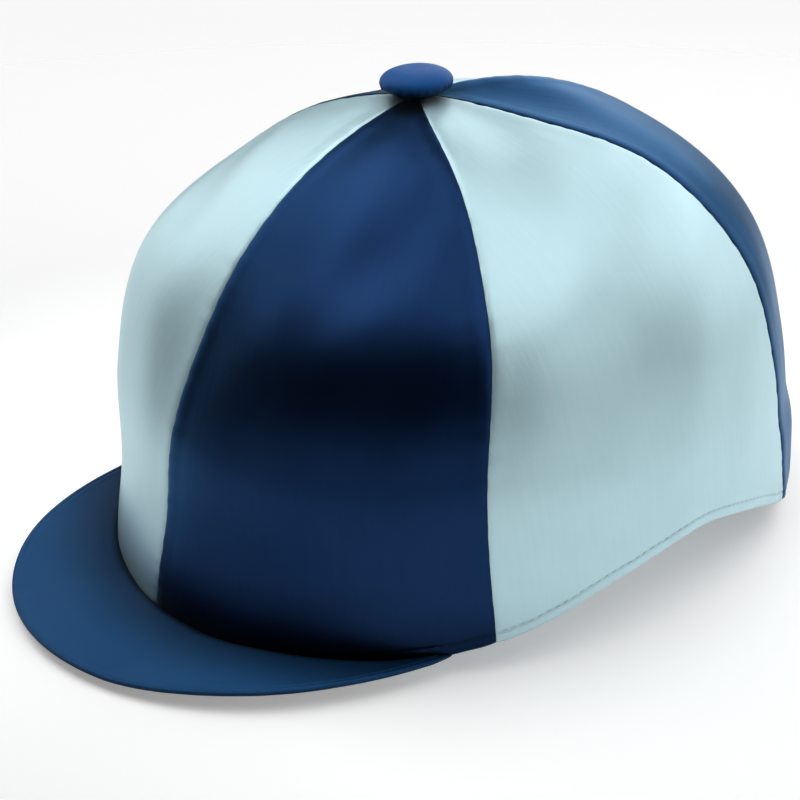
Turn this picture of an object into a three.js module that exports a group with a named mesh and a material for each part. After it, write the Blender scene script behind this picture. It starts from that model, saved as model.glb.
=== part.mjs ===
// Jockey cap: six cloth gores in two colours round a covered button, with a stiff covered peak.
// Millimetres, +Z up. The cap faces -Y, the wearer's left is +X, and the rim stands on z = 0.
// Azimuths are in degrees about the button's axis: 0 at the front, 180 at the back, the same on
// both sides. Elevations are in degrees above the crown's widest level: 90 at the button.
import * as THREE from 'three';

// Driving dimensions of the crown
const CROWN_LENGTH = 266;
const CROWN_WIDTH = 227;
const CROWN_HEIGHT = 165;
const WIDEST_LEVEL = 49;
const BUTTON_FORWARD = 21;
const EAR_ARCH = 31;
const CLOTH_THICKNESS = 2;
const HEM_THICKNESS = 2.8;
const HEM_DEPTH = 12;
const NAPE_ROLL_DEPTH = 2.6;
const GORE_SAG = 2.2;
const CLEARANCE = 0.3;

// Driving dimensions of the peak
const PEAK_REACH = 43;
const PEAK_THICKNESS = 2.6;
const PEAK_EDGE_THICKNESS = 1.6;
const PEAK_END_THICKNESS = 1.4;
const PEAK_END_WIDTH = 1.5;
const PEAK_LIFT = 3;
const PEAK_HALF_ANGLE = 63;
// How fast the peak narrows towards its ends, and how much it turns outward for each degree round.
const PEAK_TAPER = 1.3;
const PEAK_FAN = 0.8;

// Driving dimensions of the button
const BUTTON_DIAMETER = 25.4;
const BUTTON_THICKNESS = 8.3;
const BUTTON_TILT = 3;
const BUTTON_LIFT = 0.1;
const SHANK_DIAMETER = 7;
const SHANK_LENGTH = 6;
const EYELET_DIAMETER = 9;
// The button's rounded outline: the radius of its flat underside as a share of its own radius, the
// height of its widest level as a share of its thickness, and the power that squares its shoulder.
const BUTTON_UNDERSIDE = 0.68;
const BUTTON_WIDEST = 0.48;
const BUTTON_SHOULDER = 0.62;
const BUTTON_ARC_START = -50;
const BUTTON_ARC_STEPS = 8;

// Faceting
const PANEL_COLUMNS = 8;
const PANEL_ROWS = 17;
const PEAK_COLUMNS = 44;
const BUTTON_SIDES = 28;

// Stations across the peak from its root to its edge, with the thickness share of each.
const PEAK_STATIONS = [
  { out: 0, thick: 1 },
  { out: 0.33, thick: 1 },
  { out: 0.66, thick: 1 },
  { out: 0.94, thick: 1 },
  { out: 1, thick: PEAK_EDGE_THICKNESS / PEAK_THICKNESS },
];

// The peak's root clears the crown by this much along each thread.
const PEAK_GAP = 1.5 * CLEARANCE;

const NAVY = 0x1d4272;
const PALE_BLUE = 0xb2d6e0;

// Crown sections, one row for each elevation. The columns stand 45 degrees apart, from the front
// to the rear. Each number is the distance from the centre of the widest level, as a share of the
// half length, half width and height above that level.
const CROWN_SECTIONS = [
  { elevation: 90, front: 0.996, brow: 0.996, side: 0.996, aft: 0.996, rear: 0.996 },
  { elevation: 70, front: 0.914, brow: 0.959, side: 0.99, aft: 1.014, rear: 1.052 },
  { elevation: 50, front: 0.838, brow: 0.917, side: 1.02, aft: 1.08, rear: 1.098 },
  { elevation: 30, front: 0.788, brow: 0.945, side: 1.05, aft: 1.096, rear: 1.135 },
  { elevation: 10, front: 0.791, brow: 0.91, side: 1.018, aft: 1.07, rear: 1.13 },
  { elevation: -10, front: 0.826, brow: 0.908, side: 1.006, aft: 1.105, rear: 1.165 },
  { elevation: -30, front: 0.989, brow: 1.041, side: 1.13, aft: 1.25, rear: 1.25 },
];
const SECTION_COLUMNS = ['front', 'brow', 'side', 'aft', 'rear'];
const SECTION_STEP = CROWN_SECTIONS[0].elevation - CROWN_SECTIONS[1].elevation;

// Height of the rim round one side, as shares of EAR_ARCH.
const RIM_HEIGHTS = [
  { azimuth: 0, rise: 0 },
  { azimuth: 15, rise: 0 },
  { azimuth: 30, rise: 0.08 },
  { azimuth: 45, rise: 0.135 },
  { azimuth: 60, rise: 0.21 },
  { azimuth: 75, rise: 0.41 },
  { azimuth: 90, rise: 0.775 },
  { azimuth: 105, rise: 1 },
  { azimuth: 120, rise: 0.77 },
  { azimuth: 135, rise: 0.34 },
  { azimuth: 150, rise: 0.02 },
  { azimuth: 165, rise: 0 },
  { azimuth: 180, rise: 0 },
];
const RIM_STEP = RIM_HEIGHTS[1].azimuth - RIM_HEIGHTS[0].azimuth;

// Course of the seams from the button to the rim, in degrees of azimuth.
const SEAM_COURSES = [
  { elevation: 90, front: 0, temple: 64.5, nape: 124, back: 180 },
  { elevation: 63, front: 0, temple: 70.8, nape: 126.1, back: 180 },
  { elevation: 36, front: 0, temple: 69.9, nape: 128.1, back: 180 },
  { elevation: 9, front: 0, temple: 67.9, nape: 131.8, back: 180 },
  { elevation: -18, front: 0, temple: 69.8, nape: 134.7, back: 180 },
];
const SEAM_STEP = SEAM_COURSES[0].elevation - SEAM_COURSES[1].elevation;

// The gores of one side from front to back. Near the button each lies flatter between its seams
// than the rest of the dome, by a share of GORE_SAG.
const GORES = [
  { from: 'front', to: 'temple', sag: 0.25 },
  { from: 'temple', to: 'nape', sag: 0.6 },
  { from: 'nape', to: 'back', sag: 1 },
];
const SAG_ELEVATION = 64;
const SAG_SPREAD = 24;
const SAG_START = 0.2;

// Soft rolls of cloth low on the crown. Azimuth and spread are in degrees, level and half height
// are shares of WIDEST_LEVEL, and depth is a share of NAPE_ROLL_DEPTH.
const ROLLS = [{ azimuth: 147, spread: 17, level: 0.5, halfHeight: 0.36, depth: 1 }];

const PANELS = [
  { name: 'panel_front_left', side: 1, gore: GORES[0], colour: NAVY },
  { name: 'panel_side_left', side: 1, gore: GORES[1], colour: PALE_BLUE },
  { name: 'panel_rear_left', side: 1, gore: GORES[2], colour: NAVY },
  { name: 'panel_front_right', side: -1, gore: GORES[0], colour: PALE_BLUE },
  { name: 'panel_side_right', side: -1, gore: GORES[1], colour: NAVY },
  { name: 'panel_rear_right', side: -1, gore: GORES[2], colour: PALE_BLUE },
];

const HALF_LENGTH = CROWN_LENGTH / 2;
const HALF_WIDTH = CROWN_WIDTH / 2;
const DOME_HEIGHT = CROWN_HEIGHT - WIDEST_LEVEL;
const radians = THREE.MathUtils.degToRad;
const degrees = THREE.MathUtils.radToDeg;

// Degrees round from the front, the same on both sides.
function fromFront(azimuth) {
  return Math.abs(azimuth) > 180 ? 360 - Math.abs(azimuth) : Math.abs(azimuth);
}

// Elevations between which the crown's outer face meets the rim
const LOWEST_ELEVATION = -60;
const HIGHEST_RIM_ELEVATION = 30;
const ELEVATION_TOLERANCE = 1e-5;
// Step, in degrees, between the points that a normal of the crown is worked out from
const NORMAL_STEP = 0.5;
// Rounds in which a place in a gore settles between its leaning seams and its rim
const PLACE_PASSES = 4;
// Lowest elevation and steps, in degrees, at which the button's seat is tried on the crown
const SEAT_LOWEST = 80;
const SEAT_STEP = 1;
const SEAT_TURN = 10;

// Smooth curve through evenly spaced values, straight past both ends.
function splineAt(values, place) {
  const last = values.length - 1;
  const index = Math.min(Math.max(Math.floor(place), 0), last - 1);
  const f = place - index;
  const p1 = values[index];
  const p2 = values[index + 1];
  const p0 = index > 0 ? values[index - 1] : 2 * p1 - p2;
  const p3 = index + 2 <= last ? values[index + 2] : 2 * p2 - p1;
  const slope = (p2 - p0) / 2;
  const square = (2 * p0 - 5 * p1 + 4 * p2 - p3) / 2;
  const cube = (3 * p1 - p0 - 3 * p2 + p3) / 2;
  return p1 + f * (slope + f * (square + f * cube));
}

// Round the crown, each section is a sum of cosine waves through its columns, so that it runs
// smoothly over the front and the back.
function sectionWaves(row) {
  const last = SECTION_COLUMNS.length - 1;
  const half = (k) => (k % last === 0 ? 0.5 : 1);
  const wave = (j, k) => half(j) * Math.cos((Math.PI * j * k) / last);
  return SECTION_COLUMNS.map((name, k) => {
    const parts = SECTION_COLUMNS.map((column, j) => row[column] * wave(j, k));
    return (half(k) * 2 * parts.reduce((sum, part) => sum + part)) / last;
  });
}

const SECTION_WAVES = CROWN_SECTIONS.map(sectionWaves);

function roundSection(waves, azimuth) {
  return waves.reduce((sum, wave, k) => sum + wave * Math.cos(k * radians(azimuth)), 0);
}

function seamAzimuth(seam, elevation) {
  const place = (SEAM_COURSES[0].elevation - elevation) / SEAM_STEP;
  return splineAt(SEAM_COURSES.map((row) => row[seam]), place);
}

// How far a gore lies inside the dome between its seams.
function goreSag(azimuth, elevation) {
  const high = Math.exp(-(((elevation - SAG_ELEVATION) / SAG_SPREAD) ** 2));
  const start = Math.cos(radians(elevation));
  for (const gore of GORES) {
    const from = seamAzimuth(gore.from, elevation);
    const to = seamAzimuth(gore.to, elevation);
    const across = (fromFront(azimuth) - from) / (to - from);
    if (across >= 0 && across <= 1) {
      return GORE_SAG * gore.sag * high * Math.min(start / SAG_START, 1) * Math.sin(Math.PI * across);
    }
  }
  return 0;
}

function rollDepth(azimuth, z) {
  let depth = 0;
  for (const roll of ROLLS) {
    const across = (fromFront(azimuth) - roll.azimuth) / roll.spread;
    const along = (z / WIDEST_LEVEL - roll.level) / roll.halfHeight;
    depth += NAPE_ROLL_DEPTH * roll.depth * Math.exp(-across * across) * Math.exp(-(along ** 4));
  }
  return depth;
}

// A point of the crown's outer face.
function crownPoint(azimuth, elevation) {
  const place = (CROWN_SECTIONS[0].elevation - elevation) / SECTION_STEP;
  const share = splineAt(SECTION_WAVES.map((waves) => roundSection(waves, azimuth)), place);
  const a = radians(azimuth);
  const level = share * Math.cos(radians(elevation));
  const z = WIDEST_LEVEL + share * Math.sin(radians(elevation)) * DOME_HEIGHT;
  const sag = goreSag(azimuth, elevation);
  const out = rollDepth(azimuth, z) - sag * Math.cos(radians(elevation));
  const x = (level * HALF_WIDTH + out) * Math.sin(a);
  const y = -BUTTON_FORWARD - (level * HALF_LENGTH + out) * Math.cos(a);
  return new THREE.Vector3(x, y, z - sag * Math.sin(radians(elevation)));
}

function crownNormal(azimuth, elevation) {
  const step = NORMAL_STEP;
  const down = crownPoint(azimuth, elevation - step).sub(crownPoint(azimuth, elevation + step));
  const round = crownPoint(azimuth + step, elevation).sub(crownPoint(azimuth - step, elevation));
  return down.cross(round).normalize();
}

function rimHeight(azimuth) {
  const rises = RIM_HEIGHTS.map((row) => row.rise);
  return EAR_ARCH * Math.max(splineAt(rises, fromFront(azimuth) / RIM_STEP), 0);
}

// Elevation at which the crown's outer face has a given height, on its lower part.
function elevationAt(azimuth, z) {
  let low = LOWEST_ELEVATION;
  let high = HIGHEST_RIM_ELEVATION;
  while (high - low > ELEVATION_TOLERANCE) {
    const middle = (low + high) / 2;
    if (crownPoint(azimuth, middle).z < z) low = middle;
    else high = middle;
  }
  return (low + high) / 2;
}

// Elevation at which the crown's outer face leaves the eyelet under the button.
function eyeletElevation(azimuth) {
  const a = radians(azimuth);
  const reach = Math.hypot(HALF_WIDTH * Math.sin(a), HALF_LENGTH * Math.cos(a));
  return degrees(Math.acos(EYELET_DIAMETER / 2 / (reach * CROWN_SECTIONS[0].front)));
}

// Closed solid between an outer and an inner grid of points, both [row][column].
function shellGeometry(outer, inner) {
  const rows = outer.length;
  const columns = outer[0].length;
  const positions = [];
  for (const grid of [outer, inner]) {
    for (const row of grid) for (const point of row) positions.push(point.x, point.y, point.z);
  }
  const top = (i, j) => i * columns + j;
  const under = (i, j) => rows * columns + top(i, j);
  const index = [];
  const quad = (a, b, c, d) => index.push(a, b, c, a, c, d);
  for (let i = 0; i < rows - 1; i += 1) {
    for (let j = 0; j < columns - 1; j += 1) {
      quad(top(i, j), top(i + 1, j), top(i + 1, j + 1), top(i, j + 1));
      quad(under(i, j), under(i, j + 1), under(i + 1, j + 1), under(i + 1, j));
    }
    quad(top(i, 0), under(i, 0), under(i + 1, 0), top(i + 1, 0));
    quad(top(i, columns - 1), top(i + 1, columns - 1), under(i + 1, columns - 1), under(i, columns - 1));
  }
  for (let j = 0; j < columns - 1; j += 1) {
    quad(top(0, j), top(0, j + 1), under(0, j + 1), under(0, j));
    quad(top(rows - 1, j), under(rows - 1, j), under(rows - 1, j + 1), top(rows - 1, j + 1));
  }
  const geometry = new THREE.BufferGeometry();
  geometry.setAttribute('position', new THREE.Float32BufferAttribute(positions, 3));
  geometry.setIndex(index);
  return geometry;
}

// Rows of a panel from eyelet to rim, with the wall's thickness at each. The hem is a step.
function panelRows() {
  const sideLength = (Math.PI / 2) * (HALF_WIDTH + DOME_HEIGHT) / 2 + WIDEST_LEVEL;
  const hemStart = 1 - HEM_DEPTH / sideLength;
  const hemSlope = (HEM_THICKNESS - CLOTH_THICKNESS) / sideLength;
  const rows = [];
  for (let i = 0; i <= PANEL_ROWS; i += 1) {
    rows.push({ down: (hemStart * i) / PANEL_ROWS, wall: CLOTH_THICKNESS });
  }
  rows.push({ down: hemStart + hemSlope, wall: HEM_THICKNESS });
  rows.push({ down: 1, wall: HEM_THICKNESS });
  return rows;
}

// Azimuth and elevation at a share of the way across and down a gore.
function placeInGore(gore, across, down) {
  let plain = 90;
  let elevation = 0;
  for (let pass = 0; pass < PLACE_PASSES; pass += 1) {
    const from = seamAzimuth(gore.from, elevation);
    const to = seamAzimuth(gore.to, elevation);
    plain = from + (to - from) * across;
    const top = eyeletElevation(plain);
    const rim = elevationAt(plain, rimHeight(plain));
    elevation = top + (rim - top) * down;
  }
  return { plain, elevation };
}

// One gore: a cloth wall between two seams, from the eyelet to the rim.
function panelGeometry(panel) {
  const outer = [];
  const inner = [];
  for (const { down, wall } of panelRows()) {
    const outerRow = [];
    const innerRow = [];
    for (let j = 0; j <= PANEL_COLUMNS; j += 1) {
      const { plain, elevation } = placeInGore(panel.gore, j / PANEL_COLUMNS, down);
      const middle = crownPoint(plain, elevation);
      const round = Math.hypot(middle.x, middle.y + BUTTON_FORWARD);
      const inset = degrees(CLEARANCE / 2 / round);
      const edge = j === 0 ? inset : j === PANEL_COLUMNS ? -inset : 0;
      const azimuth = panel.side * (plain + edge);
      const point = crownPoint(azimuth, elevation);
      if (down === 1) point.z = rimHeight(azimuth);
      const back = crownNormal(panel.side * plain, elevation).multiplyScalar(-wall);
      const innerPoint = point.clone().add(back);
      if (down === 1) innerPoint.z = point.z;
      outerRow.push(point);
      innerRow.push(innerPoint);
    }
    if (panel.side < 0) {
      outerRow.reverse();
      innerRow.reverse();
    }
    outer.push(outerRow);
    inner.push(innerRow);
  }
  return shellGeometry(outer, inner);
}

// Places along the peak run from -1 at its right end to 1 at its left end.
function peakWidth(place) {
  return PEAK_REACH * (1 - place * place) ** PEAK_TAPER + PEAK_END_WIDTH;
}

function peakThickness(place) {
  return PEAK_END_THICKNESS + (PEAK_THICKNESS - PEAK_END_THICKNESS) * Math.sqrt(1 - place * place);
}

function peakGeometry() {
  const outer = [];
  const inner = [];
  for (let i = 0; i <= PEAK_COLUMNS; i += 1) {
    const place = (2 * i) / PEAK_COLUMNS - 1;
    const azimuth = place * PEAK_HALF_ANGLE;
    const a = radians(azimuth);
    const low = rimHeight(azimuth);
    const body = peakThickness(place);
    const lift = PEAK_LIFT * (1 - place * place);
    const away = new THREE.Vector3(Math.sin(PEAK_FAN * a), -Math.cos(PEAK_FAN * a), 0);
    const outerRow = [];
    const innerRow = [];
    for (const { out, thick } of PEAK_STATIONS) {
      for (const [row, share] of [[outerRow, 0.5 + thick / 2], [innerRow, 0.5 - thick / 2]]) {
        const z = low + body * share;
        const root = crownPoint(azimuth, elevationAt(azimuth, z));
        const reach = PEAK_GAP + peakWidth(place) * out;
        root.addScaledVector(away, reach);
        root.z = z + lift * out * out;
        row.push(root);
      }
    }
    outer.push(outerRow);
    inner.push(innerRow);
  }
  return shellGeometry(inner, outer);
}

// Profile of the button and its shank, turned about the button's axis, with y upward.
function buttonGeometry() {
  const r = BUTTON_DIAMETER / 2;
  const shank = SHANK_DIAMETER / 2;
  const profile = [
    new THREE.Vector2(0, -SHANK_LENGTH),
    new THREE.Vector2(shank, -SHANK_LENGTH),
    new THREE.Vector2(shank, 0),
    new THREE.Vector2(r * BUTTON_UNDERSIDE, 0),
  ];
  for (let i = 0; i <= BUTTON_ARC_STEPS; i += 1) {
    const a = radians(BUTTON_ARC_START + ((90 - BUTTON_ARC_START) * i) / BUTTON_ARC_STEPS);
    const part = Math.sin(a) < 0 ? BUTTON_WIDEST : 1 - BUTTON_WIDEST;
    const out = i < BUTTON_ARC_STEPS ? r * Math.cos(a) ** BUTTON_SHOULDER : 0;
    profile.push(new THREE.Vector2(out, BUTTON_THICKNESS * (BUTTON_WIDEST + part * Math.sin(a))));
  }
  return new THREE.LatheGeometry(profile, BUTTON_SIDES);
}

// Where the tilted button's flat underside stands clear of the crown all round.
function buttonSeat() {
  const tilt = radians(BUTTON_TILT);
  const top = CROWN_SECTIONS[0].elevation;
  const axis = new THREE.Vector3(0, -Math.sin(tilt), Math.cos(tilt));
  const apex = crownPoint(0, top);
  let seat = 0;
  for (let azimuth = 0; azimuth < 360; azimuth += SEAT_TURN) {
    for (let elevation = top - SEAT_STEP; elevation > SEAT_LOWEST; elevation -= SEAT_STEP) {
      const point = crownPoint(azimuth, elevation).sub(apex);
      if (Math.hypot(point.x, point.y) < BUTTON_DIAMETER / 2) {
        seat = Math.max(seat, point.dot(axis));
      }
    }
  }
  return axis.multiplyScalar(seat + BUTTON_LIFT).add(apex);
}

function cloth(colour, roughness) {
  return new THREE.MeshStandardMaterial({ color: colour, roughness, metalness: 0 });
}

function named(name, geometry, material) {
  const mesh = new THREE.Mesh(geometry, material);
  mesh.name = name;
  return mesh;
}

const cap = new THREE.Group();
for (const panel of PANELS) cap.add(named(panel.name, panelGeometry(panel), cloth(panel.colour, 0.4)));
cap.add(named('peak', peakGeometry(), cloth(NAVY, 0.7)));
const button = named('button', buttonGeometry(), cloth(NAVY, 0.6));
button.rotation.x = Math.PI / 2 + radians(BUTTON_TILT);
button.position.copy(buttonSeat());
cap.add(button);

// The origin is the middle of the footprint, on the surface that the cap stands on.
const footprint = new THREE.Box3().setFromObject(cap);
cap.position.y = -(footprint.min.y + footprint.max.y) / 2;

export default cap;
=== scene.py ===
"""Looks of the jockey cap: cloth gores with rolled seams and a stitched hem, a covered button and
a covered peak. The crown's tables and formulas repeat those of the CAD model, in millimetres about
the button's axis, and every mesh is turned into metres in the row's frame at the end."""

import math

import bpy
import numpy as np
from mathutils import Matrix, Vector


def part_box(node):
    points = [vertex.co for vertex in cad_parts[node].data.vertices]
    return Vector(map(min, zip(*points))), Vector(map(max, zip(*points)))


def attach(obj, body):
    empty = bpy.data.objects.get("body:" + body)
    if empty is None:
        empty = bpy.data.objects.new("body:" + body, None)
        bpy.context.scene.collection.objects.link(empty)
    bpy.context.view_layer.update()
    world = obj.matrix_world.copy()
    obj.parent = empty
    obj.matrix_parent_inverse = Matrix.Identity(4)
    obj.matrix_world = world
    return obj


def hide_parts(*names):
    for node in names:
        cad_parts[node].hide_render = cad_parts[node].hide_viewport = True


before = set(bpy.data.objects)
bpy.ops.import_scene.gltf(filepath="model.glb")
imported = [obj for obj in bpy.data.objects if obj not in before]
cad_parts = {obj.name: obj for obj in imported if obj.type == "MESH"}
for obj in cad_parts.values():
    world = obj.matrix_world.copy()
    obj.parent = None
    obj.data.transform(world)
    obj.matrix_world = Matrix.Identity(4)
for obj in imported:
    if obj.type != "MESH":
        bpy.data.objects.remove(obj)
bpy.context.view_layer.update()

# The crown, as in the CAD model
CROWN_LENGTH, CROWN_WIDTH, CROWN_HEIGHT = 266.0, 227.0, 165.0
WIDEST_LEVEL = 49.0
EAR_ARCH = 31.0
CLOTH_THICKNESS, HEM_THICKNESS, HEM_DEPTH = 2.0, 2.8, 12.0
NAPE_ROLL_DEPTH = 2.6
GORE_SAG = 2.2
HALF_LENGTH, HALF_WIDTH = CROWN_LENGTH / 2, CROWN_WIDTH / 2
DOME_HEIGHT = CROWN_HEIGHT - WIDEST_LEVEL

# Rows from the button down every 20 degrees of elevation, columns every 45 degrees of azimuth
CROWN_SECTIONS = np.array([
    [0.996, 0.996, 0.996, 0.996, 0.996],
    [0.914, 0.959, 0.99, 1.014, 1.052],
    [0.838, 0.917, 1.02, 1.08, 1.098],
    [0.788, 0.945, 1.05, 1.096, 1.135],
    [0.791, 0.91, 1.018, 1.07, 1.13],
    [0.826, 0.908, 1.006, 1.105, 1.165],
    [0.989, 1.041, 1.13, 1.25, 1.25],
])
SECTION_STEP = 20.0
# Rim height every 15 degrees of azimuth, as shares of the ear arch
RIM_HEIGHTS = np.array([0, 0, 0.08, 0.135, 0.21, 0.41, 0.775, 1, 0.77, 0.34, 0.02, 0, 0])
RIM_STEP = 15.0
# Azimuths of the seams every 27 degrees of elevation down from the button
SEAMS = {
    "front": np.array([0.0, 0.0, 0.0, 0.0, 0.0]),
    "temple": np.array([64.5, 70.8, 69.9, 67.9, 69.8]),
    "nape": np.array([124.0, 126.1, 128.1, 131.8, 134.7]),
    "back": np.array([180.0, 180.0, 180.0, 180.0, 180.0]),
}
SEAM_STEP = 27.0
GORES = [("front", "temple", 0.25), ("temple", "nape", 0.6), ("nape", "back", 1.0)]
SAG_ELEVATION, SAG_SPREAD, SAG_START = 64.0, 24.0, 0.2
ROLL_AZIMUTH, ROLL_SPREAD, ROLL_LEVEL, ROLL_HALF_HEIGHT = 147.0, 17.0, 0.5, 0.36
NORMAL_STEP = 0.5
LOWEST_ELEVATION, HIGHEST_RIM_ELEVATION, RIM_PASSES = -60.0, 30.0, 24


def spline(values, place):
    """Smooth curve through evenly spaced rows of values, straight past both ends."""
    last = len(values) - 1
    index = np.clip(np.floor(place), 0, last - 1).astype(int)
    f = place - index
    padded = np.concatenate([[2 * values[0] - values[1]], values, [2 * values[-1] - values[-2]]])
    if values.ndim == 1:
        p0, p1, p2, p3 = (padded[index + k] for k in range(4))
    else:
        p0, p1, p2, p3 = (
            np.take_along_axis(padded, (index + k)[None], axis=0)[0] for k in range(4)
        )
    slope = (p2 - p0) / 2
    square = (2 * p0 - 5 * p1 + 4 * p2 - p3) / 2
    cube = (3 * p1 - p0 - 3 * p2 + p3) / 2
    return p1 + f * (slope + f * (square + f * cube))


def bell(distance, spread):
    """1 at distance 0, dying out beyond the spread."""
    return np.exp(-((distance / spread) ** 2))


def rise(value, span):
    """0 up to value 0 and 1 from the span on."""
    return np.clip(value / span, 0, 1)


def step_down(value, at, blend):
    """1 well below at and 0 well above it."""
    return (1 - np.tanh((value - at) / (2 * blend))) / 2


def section_waves():
    """Cosine waves round the crown that run through the columns of each section."""
    last = CROWN_SECTIONS.shape[1] - 1
    k = np.arange(last + 1)
    half = np.where(k % last == 0, 0.5, 1.0)
    wave = np.cos(math.pi * np.outer(k, k) / last)
    return (CROWN_SECTIONS * half) @ wave * half * 2 / last


WAVES = section_waves()


def from_front(azimuth):
    turned = np.abs(azimuth)
    return np.where(turned > 180, 360 - turned, turned)


def seam_azimuth(seam, elevation):
    return spline(SEAMS[seam], (90.0 - elevation) / SEAM_STEP)


def gore_sag(azimuth, elevation):
    high = bell(elevation - SAG_ELEVATION, SAG_SPREAD)
    start = np.minimum(np.cos(np.radians(elevation)) / SAG_START, 1)
    sag = np.zeros_like(azimuth)
    for seam_from, seam_to, share in GORES:
        a, b = seam_azimuth(seam_from, elevation), seam_azimuth(seam_to, elevation)
        across = (from_front(azimuth) - a) / (b - a)
        inside = (across >= 0) & (across <= 1)
        sag = np.where(inside, share * np.sin(math.pi * across), sag)
    return GORE_SAG * sag * high * start


def roll_depth(azimuth, z):
    across = (from_front(azimuth) - ROLL_AZIMUTH) / ROLL_SPREAD
    along = (z / WIDEST_LEVEL - ROLL_LEVEL) / ROLL_HALF_HEIGHT
    return NAPE_ROLL_DEPTH * np.exp(-(across**2)) * np.exp(-(along**4))


def crown_point(azimuth, elevation):
    """Points of the crown's outer face, in millimetres about the button's axis."""
    azimuth, elevation = np.broadcast_arrays(
        np.asarray(azimuth, float), np.asarray(elevation, float)
    )
    shape = azimuth.shape
    azimuth, elevation = azimuth.ravel(), elevation.ravel()
    a, e = np.radians(azimuth), np.radians(elevation)
    k = np.arange(WAVES.shape[1])[:, None]
    rows = WAVES @ np.cos(k * a[None])
    share = spline(rows, (90.0 - elevation) / SECTION_STEP)
    level = share * np.cos(e)
    z = WIDEST_LEVEL + share * np.sin(e) * DOME_HEIGHT
    sag = gore_sag(azimuth, elevation)
    out = roll_depth(azimuth, z) - sag * np.cos(e)
    x = (level * HALF_WIDTH + out) * np.sin(a)
    y = -(level * HALF_LENGTH + out) * np.cos(a)
    return np.stack([x, y, z - sag * np.sin(e)], axis=-1).reshape(shape + (3,))


def unit(v):
    return v / np.maximum(np.linalg.norm(v, axis=-1, keepdims=True), 1e-9)


def crown_normal(azimuth, elevation):
    step = NORMAL_STEP
    down = crown_point(azimuth, elevation - step) - crown_point(azimuth, elevation + step)
    ring = crown_point(azimuth + step, elevation) - crown_point(azimuth - step, elevation)
    return unit(np.cross(down, ring))


def rim_height(azimuth):
    return EAR_ARCH * np.maximum(spline(RIM_HEIGHTS, from_front(azimuth) / RIM_STEP), 0)


def elevation_at(azimuth, z):
    """Elevation at which the crown's outer face has height z, on its lower part."""
    low = np.full_like(azimuth, LOWEST_ELEVATION)
    high = np.full_like(azimuth, HIGHEST_RIM_ELEVATION)
    for _ in range(RIM_PASSES):
        middle = (low + high) / 2
        below = crown_point(azimuth, middle)[..., 2] < z
        low, high = np.where(below, middle, low), np.where(below, high, middle)
    return (low + high) / 2


# From millimetres about the button's axis to the row's frame
REAR_ELEVATIONS = np.linspace(-25, 40, 200)
REAR_MIDDLE = crown_point(180.0, REAR_ELEVATIONS)[..., 1].max()
AXIS_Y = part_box("panel_rear_left")[1][1] * 1000 - REAR_MIDDLE
MM = 0.001


def to_frame(points):
    return (np.asarray(points, float) + [0, AXIS_Y, 0]) * MM


def make_mesh(name, points, faces, material, uvs=None):
    mesh = bpy.data.meshes.new(name)
    mesh.from_pydata(to_frame(points).tolist(), [], [tuple(f) for f in faces])
    mesh.validate()
    if uvs is not None:
        layer = mesh.uv_layers.new(name="cloth_mm")
        loops = np.zeros(len(mesh.loops), int)
        mesh.loops.foreach_get("vertex_index", loops)
        layer.data.foreach_set("uv", np.asarray(uvs, np.float32)[loops].ravel())
    mesh.polygons.foreach_set("use_smooth", [True] * len(mesh.polygons))
    mesh.materials.append(material)
    mesh.update()
    obj = bpy.data.objects.new(name, mesh)
    bpy.context.scene.collection.objects.link(obj)
    return obj


def dress(obj, replaces=()):
    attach(obj, "root")
    if replaces:
        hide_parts(*replaces)


def tree_of(name):
    material = bpy.data.materials.new(name)
    material.use_nodes = True
    nodes = material.node_tree.nodes
    return material, material.node_tree, nodes["Principled BSDF"]


def add(tree, kind, **settings):
    node = tree.nodes.new(kind)
    for key, value in settings.items():
        setattr(node, key, value)
    return node


def noise(tree, vector, scale, detail):
    node = add(tree, "ShaderNodeTexNoise")
    node.inputs["Scale"].default_value = scale
    node.inputs["Detail"].default_value = detail
    tree.links.new(vector, node.inputs["Vector"])
    return node.outputs["Fac"]


RIB_DETAIL, RIB_DISTORTION = 1.0, 0.5
# Blender's band texture turns this often in a unit of length at scale 1
BANDS_AT_UNIT_SCALE = 10 / math.pi


def ribs(tree, vector, direction, pitch):
    """Even ribs across the cloth, a pitch in millimetres apart."""
    node = add(tree, "ShaderNodeTexWave", wave_type="BANDS", wave_profile="SIN")
    node.bands_direction = direction
    node.inputs["Scale"].default_value = 1 / (BANDS_AT_UNIT_SCALE * pitch)
    node.inputs["Distortion"].default_value = RIB_DISTORTION
    node.inputs["Detail"].default_value = RIB_DETAIL
    tree.links.new(vector, node.inputs["Vector"])
    return node.outputs["Fac"]


def math_node(tree, operation, *inputs):
    node = add(tree, "ShaderNodeMath", operation=operation)
    for k, value in enumerate(inputs):
        if isinstance(value, (int, float)):
            node.inputs[k].default_value = value
        else:
            tree.links.new(value, node.inputs[k])
    return node.outputs["Value"]


def bump(tree, height, strength, distance, normal=None):
    node = add(tree, "ShaderNodeBump")
    node.inputs["Strength"].default_value = strength
    node.inputs["Distance"].default_value = distance
    tree.links.new(height, node.inputs["Height"])
    if normal is not None:
        tree.links.new(normal, node.inputs["Normal"])
    return node.outputs["Normal"]


# Features for each millimetre of the cloth's patches and grain, and across and along its streaks
PATCH_SCALE, GRAIN_SCALE, STREAK_SCALE = 0.045, 1.3, (0.55, 0.035, 1.0)
PATCH_DETAIL, GRAIN_DETAIL, STREAK_DETAIL = 3.0, 4.0, 2.0
PATCH_TONE, STREAK_TONE = 0.5, 0.28
DARK_TONE, LIGHT_TONE = 0.15, 0.75
PATCH_ROUGHNESS = 0.10
COURSE_SHARE = 0.75
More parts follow.
